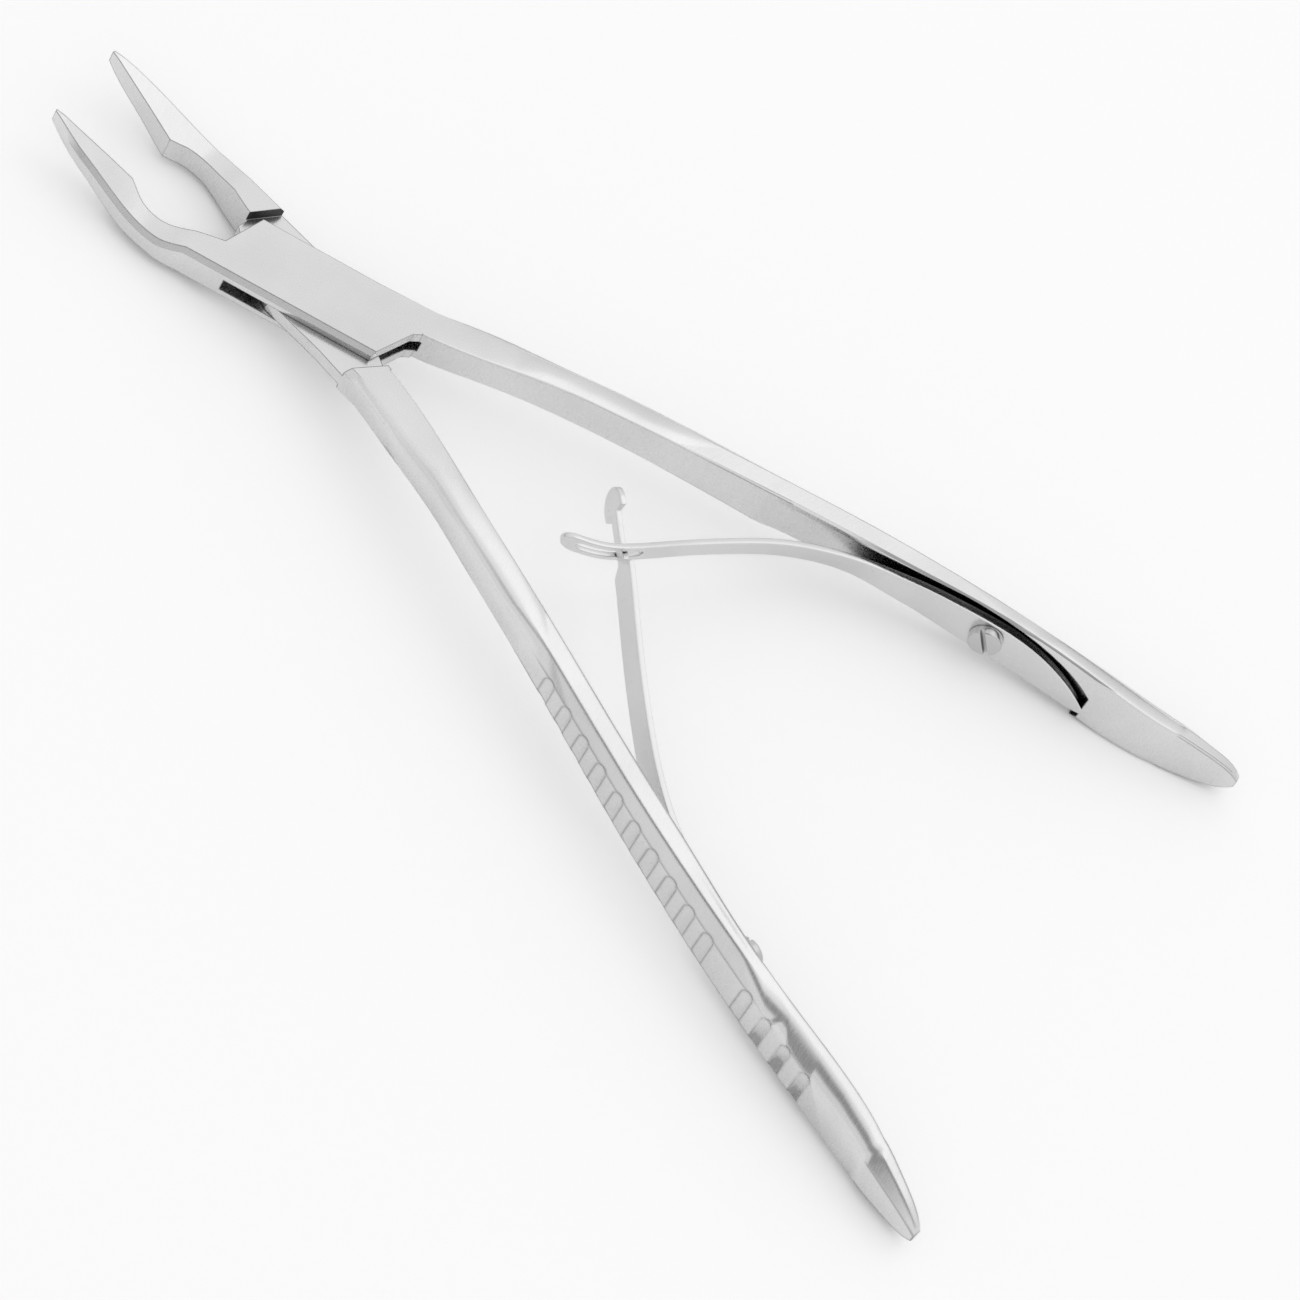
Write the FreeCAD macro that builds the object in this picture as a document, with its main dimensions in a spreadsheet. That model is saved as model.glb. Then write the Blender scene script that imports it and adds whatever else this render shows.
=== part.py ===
# Bone rongeur with angled hollow jaws, box lock and interlocking leaf springs.
# Seven separate pieces, modelled in millimetres.
# Half frame: X runs to the jaw tip, Z is the pivot axis, z = 0 is the middle of the lock.
# A half is drawn closed, with its jaw on the +Y side and its handle on the -Y side.
# The male half is the same drawing flipped in Y, then both halves are turned open.
import FreeCAD
import Part
import math
import os
import Sketcher

V = FreeCAD.Vector
os.makedirs("parts", exist_ok=True)
doc = FreeCAD.newDocument("rongeur")

# Driving sizes. Lengths in mm, angles in degrees.
driving = {
    "lock_half_height": 2.2,
    "slot_half_height": 0.83,
    "sliding_clearance": 0.03,
    "pin_diameter": 3.0,
    "half_opening": 10.0,
    "rest_tilt": 8.2,
    "crease_share": 0.42,
    "edge_break": 0.22,
    "jaw_crease_width": 0.5,
    "jaw_crease_drop": 0.6,
    "cup_length": 11.0,
    "cup_width": 2.15,
    "cup_depth": 1.35,
    "cup_slope": 23.7,
    "notch_width": 1.7,
    "notch_depth": 0.32,
    "notch_pitch": 3.53,
    "spring_thickness": 0.85,
    "strip_width": 2.2,
    "eye_width": 1.5,
    "neck_width": 1.2,
    "spring_recess": 0.95,
    "screw_head_diameter": 3.8,
    "screw_head_height": 1.3,
    "screw_slot_width": 0.6,
    "screw_slot_depth": 0.5,
    "screw_shank_diameter": 2.0,
    "screw_shank_length": 2.4,
}
sheet = doc.addObject("Spreadsheet::Sheet", "sizes")
for row, (alias, value) in enumerate(driving.items(), start=1):
    sheet.set("A%d" % row, alias)
    sheet.set("B%d" % row, str(value))
    sheet.setAlias("B%d" % row, alias)
doc.recompute()


def size(alias):
    return float(sheet.get(alias))


# Closed handle outline, one row for each station along the handle:
# x, inner face, outer crease, outer side, top, bottom. Distances across are taken from the
# closing plane, on the handle side.
handle_rows = [
    (-14.0, 0.95, 4.75, 5.50, 2.20, -2.20),
    (-17.0, 1.35, 5.05, 6.10, 2.12, -2.20),
    (-21.0, 2.15, 5.60, 6.90, 1.98, -2.20),
    (-28.0, 3.90, 6.75, 7.95, 1.60, -2.85),
    (-37.0, 5.90, 8.65, 9.75, 0.60, -4.25),
    (-46.9, 7.75, 10.40, 11.60, -0.90, -6.10),
    (-57.9, 9.90, 12.50, 13.60, -2.80, -8.75),
    (-69.8, 12.00, 14.60, 15.70, -4.85, -11.60),
    (-81.7, 14.05, 16.10, 17.30, -6.95, -14.45),
    (-92.6, 15.30, 17.00, 18.40, -8.95, -16.80),
    (-103.5, 15.65, 17.50, 19.15, -11.25, -18.85),
    (-111.5, 16.60, 18.10, 19.75, -13.30, -20.05),
]
# The tongue-shaped end: x, inner face, outer side, middle height, half width.
handle_end_rows = [
    (-111.5, 16.60, 19.75, -16.675, 3.375),
    (-115.5, 17.35, 20.00, -17.50, 2.95),
    (-118.3, 17.95, 20.10, -18.03, 2.35),
    (-120.3, 18.45, 20.10, -18.40, 1.55),
    (-121.3, 18.80, 19.95, -18.60, 0.75),
]
# Jaw outline: x, outer crease, top, bottom. The biting rim lies in the closing plane.
jaw_rows = [
    (17.0, 4.75, 1.53, -1.60),
    (20.3, 4.20, 2.07, -1.00),
    (23.4, 3.45, 3.20, 0.20),
    (26.4, 2.62, 4.42, 1.74),
    (29.2, 1.82, 5.47, 2.99),
    (31.6, 0.90, 6.41, 4.24),
    (33.0, 0.30, 6.76, 5.26),
]
# The root of the jaw drops from the flat top of the lock to the jaw in a short hollow.
jaw_root_rows = [
    (13.4, 4.46, 2.20, -2.20),
    (14.3, 4.60, 1.95, -2.12),
    (15.2, 4.72, 1.72, -2.00),
    (17.0, 4.75, 1.53, -1.60),
]
# Lock plate: x, crease on the jaw side, crease and side on the handle side, and its drop.
lock_rows = [
    (13.4, 4.46, 4.46, 5.02, 0.60),
    (-7.0, 4.46, 4.46, 5.02, 0.65),
    (-14.0, 4.46, 4.75, 5.50, 0.924),
]
# Throat between the two jaws, from the end of the biting rim back to the lock.
throat_points = [(22.2, 0.0), (21.3, 0.72), (20.4, 1.42), (18.8, 2.06), (17.2, 2.28),
                 (15.6, 2.18), (13.8, 1.86), (11.8, 1.35), (10.0, 0.95)]
far = 7.0


def face_of(points):
    return Part.Face(Part.makePolygon(points + points[:1]))


def prism(points, flip, low, high):
    """Upright block over a plan outline, from height low to height high."""
    base = [V(x, flip * y, low) for x, y in points]
    return face_of(base).extrude(V(0, 0, high - low))


def closed_section(x, corners, flip):
    ring = [V(x, flip * y, z) for y, z in corners]
    return Part.makePolygon(ring + ring[:1])


def handle_section(x, inner, crease, side, top, bottom, flip):
    drop = size("crease_share") * (top - bottom) / 2
    lip = min(size("edge_break"), (top - bottom) / 6)
    corners = [(-inner, top - lip), (-inner - lip, top), (-crease, top), (-side, top - drop),
               (-side, bottom + drop), (-crease, bottom), (-inner - lip, bottom),
               (-inner, bottom + lip)]
    return closed_section(x, corners, flip)


def handle_blank(flip):
    rings = [handle_section(*row, flip) for row in handle_rows]
    bar = Part.makeLoft(rings, True, False)
    rings = []
    for x, inner, side, middle, half in handle_end_rows:
        share = (x - handle_end_rows[0][0]) / (handle_end_rows[-1][0] - handle_end_rows[0][0])
        crease = side - 1.65 * (1 - share) - 0.45 * share
        rings.append(handle_section(x, inner, crease, side, middle + half, middle - half, flip))
    end = Part.makeLoft(rings, True, False)
    return bar.fuse(end)


def jaw_section(x, crease, top, bottom, flip):
    out = size("jaw_crease_width") * min(1, crease / 1.5)
    drop = min(size("jaw_crease_drop"), 0.3 * (top - bottom))
    corners = [(0, top), (crease, top), (crease + out, top - drop),
               (crease + out, bottom + drop), (crease, bottom), (0, bottom)]
    return closed_section(x, corners, flip)


def jaw_blank(flip):
    root = Part.makeLoft([jaw_section(*row, flip) for row in jaw_root_rows], True, False)
    jaw = Part.makeLoft([jaw_section(*row, flip) for row in jaw_rows], True, False)
    return root.fuse(jaw)


def lock_blank(flip):
    top = size("lock_half_height")
    rings = []
    for x, crease, back_crease, back_side, back_drop in lock_rows:
        side = crease + size("jaw_crease_width")
        drop = size("jaw_crease_drop")
        corners = [(-back_crease, top), (crease, top), (side, top - drop), (side, drop - top),
                   (crease, -top), (-back_crease, -top), (-back_side, back_drop - top),
                   (-back_side, top - back_drop)]
        rings.append(closed_section(x, corners, flip))
    return Part.makeLoft(rings, True, True)


def throat_cutter(lock_side, flip):
    """Plan block that clears the throat and everything in front of the lock."""
    curve = Part.BSplineCurve()
    curve.interpolate([V(x, flip * y, -9) for x, y in throat_points])
    tail = [throat_points[-1]] + lock_side + [(40, -far), (40, 0), throat_points[0]]
    edges = [curve.toShape()] + Part.makePolygon([V(x, flip * y, -9) for x, y in tail]).Edges
    return Part.Face(Part.Wire(edges)).extrude(V(0, 0, 18))


def notch_centres():
    """Ten grip notches, a gap, then four more, counted along the handle."""
    first = [-51.4 - size("notch_pitch") * k for k in range(10)]
    second = [-90.5 - size("notch_pitch") * k for k in range(4)]
    return first + second


def handle_at(x):
    """Outer side, top and bottom of the handle at x, between the two nearest rows."""
    for before, after in zip(handle_rows, handle_rows[1:]):
        if after[0] <= x <= before[0]:
            share = (before[0] - x) / (before[0] - after[0])
            return [a + (b - a) * share for a, b in zip(before[3:], after[3:])]


def notch_cutters(flip):
    """Round-ended finger cut across the outer side: closed above, running out below."""
    depth = size("notch_depth")
    radius = ((size("notch_width") / 2) ** 2 + depth ** 2) / (2 * depth)
    cutters = []
    for x in notch_centres():
        side, top, bottom = handle_at(x)
        upper = top - size("crease_share") * (top - bottom) / 2 - 0.75
        centre = V(x, -flip * (side + radius - depth), upper)
        cutters.append(Part.makeSphere(radius, centre))
        cutters.append(Part.makeCylinder(radius, upper - bottom + 3, centre, V(0, 0, -1)))
    return cutters


# Springs. Their middle line in plan starts in the handle seat and crosses the closing plane.
spring_base = [(-100.0, -16.15), (-93.6, -15.85), (-87.6, -15.30), (-83.2, -14.75),
               (-78.7, -13.90), (-73.3, -12.40), (-68.1, -10.50), (-63.7, -8.40),
               (-59.6, -5.90)]
slotted_tip = [(-55.6, -2.75), (-50.7, 1.70), (-46.2, 5.90), (-43.9, 7.95), (-41.9, 9.25),
               (-39.9, 10.10), (-37.5, 11.00)]
headed_tip = [(-55.95, -2.95), (-50.85, 1.55), (-45.75, 6.10), (-42.85, 8.65), (-40.45, 10.50),
              (-37.65, 12.25)]
# Half width of the spring base in side view: a pointed arch that narrows to the strip.
base_widths = [(-100.0, 0.15), (-97.1, 1.40), (-92.6, 2.70), (-86.6, 3.40), (-79.7, 3.10),
               (-72.8, 2.20), (-65.9, 1.50)]
# Upper half width and depth of the seat milled for it in the handle.
seat_widths = [(-101.2, 0.20), (-98.2, 1.85), (-93.1, 3.10), (-86.6, 3.62), (-79.7, 3.45),
               (-71.8, 2.85), (-63.9, 2.35), (-56.0, 1.90)]
seat_face = [(-101.0, -15.65), (-93.6, -15.38), (-87.2, -14.75), (-81.7, -14.03),
             (-69.8, -12.0), (-62.0, -10.6)]
seat_ramp_end = (-56.0, -9.3)


def spring_height(x):
    """Middle height of the spring strips, which lean with the handles."""
    return -3.29 + 0.205 * (x + 45.6)


def smooth(points):
    curve = Part.BSplineCurve()
    curve.interpolate(points)
    return curve.toShape()


def bent_strip(points, flip):
    """Upright block with parallel faces on both sides of a middle line drawn in plan."""
    half = size("spring_thickness") / 2
    left, right = [], []
    for k, (x, y) in enumerate(points):
        x0, y0 = points[max(k - 1, 0)]
        x1, y1 = points[min(k + 1, len(points) - 1)]
        length = math.hypot(x1 - x0, y1 - y0)
        nx, ny = (y0 - y1) / length * half, (x1 - x0) / length * half
        left.append(V(x + nx, flip * (y + ny), -20))
        right.append(V(x - nx, flip * (y - ny), -20))
    sides = [smooth(left), Part.makeLine(left[-1], right[-1]), smooth(right[::-1]),
             Part.makeLine(right[0], left[0])]
    return Part.Face(Part.Wire(sides)).extrude(V(0, 0, 30))


def edge_points(widths):
    """Upper and lower edge of a spring in side view."""
    upper = [V(x, -30, spring_height(x) + half) for x, half in widths]
    lower = [V(x, -30, spring_height(x) - half) for x, half in widths]
    return upper, lower


def strip_profile(tip_rows):
    """Side outline of a spring, cut right across: curved base, then a straight strip."""
    strip = size("strip_width") / 2
    base_up, base_low = edge_points(base_widths + [(-61.0, strip), (-57.0, strip)])
    tip_up, tip_low = edge_points([(-57.0, strip)] + tip_rows)
    edges = [smooth(base_up)] + Part.makePolygon(tip_up + tip_low[::-1]).Edges
    edges += [smooth(base_low[::-1]), Part.makeLine(base_low[0], base_up[0])]
    return Part.Face(Part.Wire(edges)).extrude(V(0, 60, 0))


def disc(x, radius):
    return Part.makeCylinder(radius, 60, V(x, -30, spring_height(x)), V(0, 1, 0))


def bar(x_low, x_high, half):
    """Bar seen from the side between two stations, following the lean of the springs."""
    upper, lower = edge_points([(x_low, half), (x_high, half)])
    return face_of(upper + lower[::-1]).extrude(V(0, 60, 0))


def screw_frame(flip):
    """Where a spring screw sits in the half frame. Its axis points out of the handle."""
    turn = FreeCAD.Rotation(V(0, 0, 1), 7.0 * flip)
    out = FreeCAD.Rotation(V(1, 0, 0), -90 * flip)
    x = -86.5
    return FreeCAD.Placement(V(x, -14.73 * flip, spring_height(x)), turn.multiply(out))


def screw_room(flip):
    """Space taken by the head and shank of a spring screw."""
    head = Part.makeCylinder(size("screw_head_diameter") / 2, size("screw_head_height"))
    shank = Part.makeCylinder(size("screw_shank_diameter") / 2, size("screw_shank_length"),
                              V(0, 0, 0), V(0, 0, -1))
    room = head.fuse(shank)
    room.Placement = screw_frame(flip)
    return room


def slotted_spring_shape(flip):
    """Leaf with a rounded paddle and a long eye that lets the other spring through."""
    strip = size("strip_width") / 2
    paddle = strip + 0.28
    eye = size("eye_width") / 2
    profile = strip_profile([(-52.3, strip), (-49.3, paddle), (-39.6, paddle)])
    profile = profile.fuse(disc(-39.6, paddle))
    opening = bar(-49.5, -40.5, eye).fuse([disc(-49.5, eye), disc(-40.5, eye)])
    leaf = bent_strip(spring_base + slotted_tip, flip).common(profile.cut(opening))
    return leaf.cut(screw_room(flip))


def headed_spring_shape(flip):
    """Leaf with a narrow neck and a half-round head."""
    strip = size("strip_width") / 2
    neck = size("neck_width") / 2
    profile = strip_profile([(-52.3, strip), (-50.9, neck), (-41.1, neck)])
    head = disc(-40.9, 1.75).common(bar(-41.5, -36.3, 2.6))
    leaf = bent_strip(spring_base + headed_tip, flip).common(profile.fuse(head))
    return leaf.cut(screw_room(flip))


def seat_cutter(flip):
    """Shallow seat in the inner face of the handle: a ramp, a floor and a pointed end."""
    deep = size("spring_recess")
    floor = [(x, y - deep) for x, y in seat_face] + [seat_ramp_end]
    curve = smooth([V(x, flip * y, -20) for x, y in floor])
    rest = [floor[-1], (floor[-1][0], 0), (floor[0][0], 0), floor[0]]
    back = Part.makePolygon([V(x, flip * y, -20) for x, y in rest]).Edges
    plan = Part.Face(Part.Wire([curve] + back)).extrude(V(0, 0, 30))
    upper, lower = edge_points(seat_widths)
    lower = [point - V(0, 0, 3) for point in lower]
    rim = Part.makePolygon([upper[-1]] + lower[::-1] + [upper[0]]).Edges
    outline = Part.Face(Part.Wire([smooth(upper)] + rim)).extrude(V(0, 60, 0))
    return plan.common(outline)


# Lock outlines in plan, half frame. The slanted ends of the two cheeks, the ends of the slot
# and the outline of the tongue that slides in it.
cheek_front = [(6.59, -6.5)]
cheek_rear = [(-9.3, 6.5), (-13.07, -0.32), (-14.05, -0.95), (-15.0, -0.9), (-15.0, 6.5)]
slot_outline = [(7.9, far), (7.9, 5.2), (10.25, 1.0), (12.0, -far), (-8.0, -far), (-8.0, -5.4),
                (-14.3, -1.5), (-14.3, -0.6), (-16.0, 0.0), (-16.0, far)]
tongue_front = [(10.1, -0.4), (7.3, -2.5), (1.0, -5.0), (1.0, -6.5)]
tongue_rear = [(-1.5, 6.5), (-1.5, 4.9), (-7.3, 2.5), (-12.7, -0.3), (-13.3, -0.8),
               (-14.05, -0.95), (-15.0, -0.9), (-15.0, 6.5)]
shoulder_zone = [(7.19, far), (8.29, 4.8), (10.53, 0.3), (12.6, -far), (-9.87, -far),
                 (-11.31, -4.46), (-13.46, -0.67), (-14.6, 1.3), (-14.6, far)]


def blank(flip, lock_side, rear):
    """Jaw, lock plate and handle in one piece, trimmed to the plan of this half."""
    whole = lock_blank(flip).fuse([jaw_blank(flip), handle_blank(flip)])
    trims = [throat_cutter(lock_side, flip), prism(rear, flip, -9, 9)]
    return whole.cut(trims + notch_cutters(flip) + [seat_cutter(flip)])


def female_shape():
    """The half with two cheeks: a slot runs right through its lock plate."""
    half = size("slot_half_height")
    body = blank(1, cheek_front, cheek_rear)
    return body.cut([prism(slot_outline, 1, -half, half), screw_room(1),
                     slotted_spring_shape(1)])


def male_shape():
    """The half with a thin tongue between two shoulders."""
    half = size("slot_half_height") - size("sliding_clearance")
    body = blank(-1, tongue_front, tongue_rear)
    return body.cut([prism(shoulder_zone, -1, half, 9), prism(shoulder_zone, -1, -9, -half),
                     screw_room(-1), headed_spring_shape(-1)])


def rest_placement(flip):
    """Half frame to rest pose: opened, lifted so the lock underside is the origin, tilted."""
    opened = FreeCAD.Placement(V(0, 0, size("lock_half_height")),
                               FreeCAD.Rotation(V(0, 0, 1), size("half_opening") * flip))
    tilt = FreeCAD.Placement(V(0, 0, 0), FreeCAD.Rotation(V(0, 1, 0), size("rest_tilt")))
    return tilt.multiply(opened)


def plain_feature(name, shape, place=None):
    feature = doc.addObject("Part::Feature", name)
    feature.Shape = shape
    if place is not None:
        feature.Placement = place
    return feature


def cup_tool(name):
    """Long hollow in the biting face, tilted with the jaw."""
    cup = doc.addObject("Part::Ellipsoid", name)
    cup.setExpression("Radius1", "sizes.cup_width / 2")
    cup.setExpression("Radius2", "sizes.cup_length / 2")
    cup.setExpression("Radius3", "sizes.cup_depth")
    cup.Placement = FreeCAD.Placement(V(27.5, 0, 3.49),
                                      FreeCAD.Rotation(V(0, 1, 0), -size("cup_slope")))
    return cup


def bore_tool(name, radius_rule):
    """Pin bore through the lock: tight in the cheeks, running free in the tongue."""
    bore = doc.addObject("Part::Cylinder", name)
    bore.setExpression("Radius", radius_rule)
    bore.setExpression("Height", "4 * sizes.lock_half_height")
    bore.Placement.Base = V(0, 0, -2 * size("lock_half_height"))
    return bore


def cut_object(name, base, tool):
    cut = doc.addObject("Part::Cut", name)
    cut.Base = base
    cut.Tool = tool
    return cut


def build_half(name, shape, radius_rule, flip):
    """Adds the cup and the bore to a trimmed half and puts it in the rest pose."""
    body = plain_feature(name + "_body", shape)
    cupped = cut_object(name + "_cupped", body, cup_tool(name + "_cup"))
    half = cut_object(name, cupped, bore_tool(name + "_bore", radius_rule))
    half.Placement = rest_placement(flip)
    return half


def origin_plane(body, role):
    return [item for item in body.Origin.OriginFeatures if item.Role == role][0]


def circle_sketch(body, name, alias):
    """Circle on the body's own ground plane, its diameter driven from the sheet."""
    sketch = body.newObject("Sketcher::SketchObject", name)
    sketch.AttachmentSupport = [(origin_plane(body, "XY_Plane"), "")]
    sketch.MapMode = "FlatFace"
    sketch.addGeometry(Part.Circle(V(0, 0, 0), V(0, 0, 1), size(alias) / 2), False)
    sketch.addConstraint(Sketcher.Constraint("Coincident", 0, 3, -1, 1))
    sketch.addConstraint(Sketcher.Constraint("Diameter", 0, size(alias)))
    sketch.setExpression("Constraints[1]", "sizes." + alias)
    return sketch


def slot_sketch(body, name):
    """Screwdriver slot seen end on, at the top of the head."""
    sketch = body.newObject("Sketcher::SketchObject", name)
    sketch.AttachmentSupport = [(origin_plane(body, "XZ_Plane"), "")]
    sketch.MapMode = "FlatFace"
    half = size("screw_slot_width") / 2
    low = size("screw_head_height") - size("screw_slot_depth")
    high = size("screw_head_height") + 1
    corners = [V(-half, low, 0), V(half, low, 0), V(half, high, 0), V(-half, high, 0)]
    for k in range(4):
        sketch.addGeometry(Part.LineSegment(corners[k], corners[(k + 1) % 4]), False)
    for k in range(4):
        sketch.addConstraint(Sketcher.Constraint("Coincident", k, 2, (k + 1) % 4, 1))
    for k, straight in ((1, "Vertical"), (2, "Horizontal"), (3, "Vertical")):
        sketch.addConstraint(Sketcher.Constraint(straight, k))
    sketch.addConstraint(Sketcher.Constraint("Symmetric", 0, 1, 0, 2, -2))
    sketch.addConstraint(Sketcher.Constraint("DistanceX", 0, 1, 0, 2, 2 * half))
    sketch.setExpression("Constraints[8]", "sizes.screw_slot_width")
    sketch.addConstraint(Sketcher.Constraint("DistanceY", -1, 1, 0, 1, low))
    sketch.setExpression("Constraints[9]",
                         "sizes.screw_head_height - sizes.screw_slot_depth")
    sketch.addConstraint(Sketcher.Constraint("DistanceY", 1, 1, 1, 2, high - low))
    return sketch


def pivot_pin():
    """Round pin, ground flush with both faces of the lock."""
    body = doc.addObject("PartDesign::Body", "pivot_pin")
    sketch = circle_sketch(body, "pin_circle", "pin_diameter")
    pad = body.newObject("PartDesign::Pad", "pin_pad")
    pad.Profile = sketch
    pad.Midplane = True
    pad.setExpression("Length", "2 * sizes.lock_half_height")
    body.Placement = rest_placement(0)
    return body


def spring_screw(name, flip):
    """Low cheese-head screw: a plain shank, a flat head and one driver slot."""
    body = doc.addObject("PartDesign::Body", name)
    head = body.newObject("PartDesign::Pad", name + "_head")
    head.Profile = circle_sketch(body, name + "_head_circle", "screw_head_diameter")
    head.setExpression("Length", "sizes.screw_head_height")
    shank = body.newObject("PartDesign::Pad", name + "_shank")
    shank.Profile = circle_sketch(body, name + "_shank_circle", "screw_shank_diameter")
    shank.Reversed = True
    shank.setExpression("Length", "sizes.screw_shank_length")
    doc.recompute()
    rim = [k for k, edge in enumerate(shank.Shape.Edges, start=1)
           if edge.BoundBox.ZMin > size("screw_head_height") - 0.01]
    rounding = body.newObject("PartDesign::Fillet", name + "_rounding")
    rounding.Base = (shank, ["Edge%d" % rim[0]])
    rounding.Radius = 0.25
    slot = body.newObject("PartDesign::Pocket", name + "_slot")
    slot.Profile = slot_sketch(body, name + "_slot_sketch")
    slot.Type = "ThroughAll"
    slot.Midplane = True
    body.Placement = rest_placement(flip).multiply(screw_frame(flip))
    return body


parts = [
    build_half("female_half", female_shape(), "sizes.pin_diameter / 2", 1),
    build_half("male_half", male_shape(),
               "sizes.pin_diameter / 2 + sizes.sliding_clearance", -1),
    pivot_pin(),
    plain_feature("slotted_spring", slotted_spring_shape(1), rest_placement(1)),
    plain_feature("headed_spring", headed_spring_shape(-1), rest_placement(-1)),
    spring_screw("slotted_spring_screw", 1),
    spring_screw("headed_spring_screw", -1),
]
doc.recompute()

for feature in doc.Objects:
    if "Invalid" in feature.State or "Error" in feature.State:
        raise RuntimeError("object failed: " + feature.Name)
for part in parts:
    shape = part.Shape
    if shape.isNull() or not shape.isValid() or len(shape.Solids) != 1:
        raise RuntimeError("bad shape: %s %d" % (part.Name, len(shape.Solids)))
    shape.exportStep("parts/%s.step" % part.Name)
    box = shape.BoundBox
    print(part.Name, "volume %.2f" % shape.Volume, "x %.2f %.2f" % (box.XMin, box.XMax),
          "y %.2f %.2f" % (box.YMin, box.YMax), "z %.2f %.2f" % (box.ZMin, box.ZMax))
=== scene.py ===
import math
import bmesh
import bpy
import numpy as np
from mathutils import Matrix, Vector


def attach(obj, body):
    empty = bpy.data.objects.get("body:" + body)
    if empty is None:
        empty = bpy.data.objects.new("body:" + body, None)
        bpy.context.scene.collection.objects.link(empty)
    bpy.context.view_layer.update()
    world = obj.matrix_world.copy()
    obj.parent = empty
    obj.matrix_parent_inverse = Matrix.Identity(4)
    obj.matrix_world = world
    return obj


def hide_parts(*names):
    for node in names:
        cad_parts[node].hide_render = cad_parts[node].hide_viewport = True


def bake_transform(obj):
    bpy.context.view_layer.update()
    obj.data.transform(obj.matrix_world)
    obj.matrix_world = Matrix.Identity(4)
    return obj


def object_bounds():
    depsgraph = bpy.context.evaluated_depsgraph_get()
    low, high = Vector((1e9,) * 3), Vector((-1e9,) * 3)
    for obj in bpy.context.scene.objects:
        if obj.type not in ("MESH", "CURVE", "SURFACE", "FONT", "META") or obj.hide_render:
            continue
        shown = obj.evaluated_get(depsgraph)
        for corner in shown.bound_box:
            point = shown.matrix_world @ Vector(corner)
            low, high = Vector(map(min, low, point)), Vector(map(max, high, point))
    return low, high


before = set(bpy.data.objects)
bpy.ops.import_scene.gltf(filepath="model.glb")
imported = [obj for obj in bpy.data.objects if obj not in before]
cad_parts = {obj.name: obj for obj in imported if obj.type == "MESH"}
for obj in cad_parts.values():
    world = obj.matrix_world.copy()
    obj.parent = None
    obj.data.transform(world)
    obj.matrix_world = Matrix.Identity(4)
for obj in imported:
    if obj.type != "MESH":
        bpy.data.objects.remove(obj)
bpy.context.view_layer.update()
print("frame loaded")

# The half frame of the CAD source, in mm: X to the jaw tip, Z the pivot axis, z = 0 in the
# middle of the lock. A female half keeps its signs, a male half is flipped in Y.
restPose = {
    "tilt": 8.2,          # degrees that the pivot axis leans to +X
    "halfOpening": 10.0,  # degrees that each half is turned open
    "lockHalf": 2.2,      # mm from the lock's middle to its flat underside
}


# World point in metres = tilt about Y x (opening about Z x half point + lift) / 1000.
def toWorld(points, flip):
    tilt, opened = (math.radians(restPose[k]) for k in ("tilt", "halfOpening"))
    x, y, z = np.asarray(points, float).T
    y = y * flip
    c, s = math.cos(opened * flip), math.sin(opened * flip)
    x, y, z = c * x - s * y, s * x + c * y, z + restPose["lockHalf"]
    c, s = math.cos(tilt), math.sin(tilt)
    return np.stack([c * x + s * z, y, c * z - s * x], axis=1) / 1000


pivotAxis = (math.sin(math.radians(restPose["tilt"])), 0.0,
             math.cos(math.radians(restPose["tilt"])))

# Steel finish and painted shade. Grain runs across the handles, beads lie on top of it.
steelLook = {
    "pale": (0.91, 0.91, 0.913),
    "dull": (0.85, 0.85, 0.855),
    "roughLow": 0.20,
    "roughHigh": 0.30,
    "grain": (7000.0, 500.0, 900.0),     # strokes per metre along x, y and z
    "grainDepth": 0.000006,              # metres
    "beadScale": 5200.0,                 # beads per metre
    "beadDepth": 0.0000016,
    "patchScale": 90.0,
    "edgeRadius": 0.00020,               # metres that ground edges are softened by
    # Painted shade on edges: the share of its colour that steel keeps where the softened normal
    # turns most.
    "paintedEdgeShade": 0.50,                    # share of its colour that steel keeps on an edge
    "edgeTurn": (0.004, 0.034),          # 1 - cosine of the softening, from none to full
    "lockEnd": (-0.012, -0.030),         # metres along the half where the handle's edges begin
    "pinClear": 0.0021,                  # metres round the pivot with no softening
    # Painted shade in crevices, from the open share of the sky:
    "creviceReach": 0.0020,              # metres within which metal shuts out the light
    "creviceShut": 0.22,                 # open share of the sky at which steel is darkest
    "creviceOpen": 0.62,                 # open share at which it has its own colour
    "creviceShadeDeepest": 0.04,
}


def addNode(tree, kind, **values):
    node = tree.nodes.new(kind)
    for name, value in values.items():
        if name in node.inputs:
            node.inputs[name].default_value = value
        else:
            setattr(node, name, value)
    return node


# Distance of the shaded point along an axis.
def alongAxis(tree, place, axis):
    along = addNode(tree, "ShaderNodeVectorMath", operation="DOT_PRODUCT")
    along.inputs[1].default_value = axis
    tree.links.new(place.outputs["Object"], along.inputs[0])
    return along.outputs["Value"]


# Output runs from low to high while the value runs between the two limits.
def ranged(tree, value, limits, low, high, smooth=False):
    kind = "SMOOTHSTEP" if smooth else "LINEAR"
    node = addNode(tree, "ShaderNodeMapRange", interpolation_type=kind)
    node.inputs["From Min"].default_value, node.inputs["From Max"].default_value = limits
    node.inputs["To Min"].default_value = low
    node.inputs["To Max"].default_value = high
    tree.links.new(value, node.inputs["Value"])
    return node.outputs["Result"]
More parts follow.
